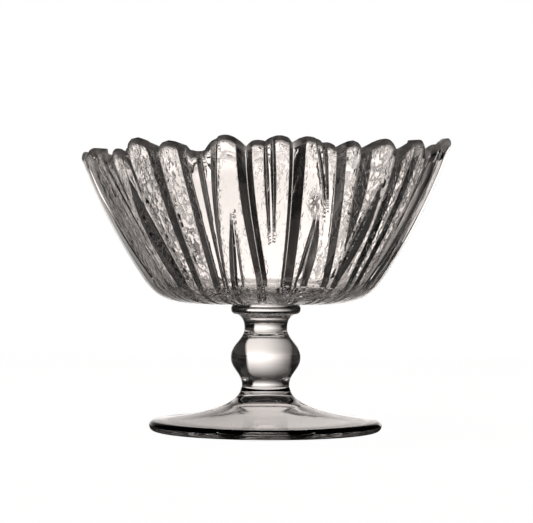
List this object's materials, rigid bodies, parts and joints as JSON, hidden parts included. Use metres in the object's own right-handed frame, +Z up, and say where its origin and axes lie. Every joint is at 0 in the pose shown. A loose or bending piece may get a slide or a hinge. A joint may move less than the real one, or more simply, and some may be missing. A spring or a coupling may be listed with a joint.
{
  "type": "footed candy bowl",
  "caption": "Clear pressed-glass candy bowl with irregular fluted sides and a scalloped rim, on a knopped stem and a round foot",
  "frame": {"origin": "on the table, under the middle of the rim's outline", "axes": "+Z up along the axis of the stem, -Y towards the side seen in the picture, +X to that side's right"},
  "size_m": [0.1413, 0.1408, 0.1117],
  "materials": {
    "clear_glass": "fire-polished clear glass with a faint warm grey cast"
  },
  "bodies": {
    "root": {"foot": "clear_glass", "stem": "clear_glass", "joining_wafer": "clear_glass", "bowl": "clear_glass"}
  },
  "joints": []
}
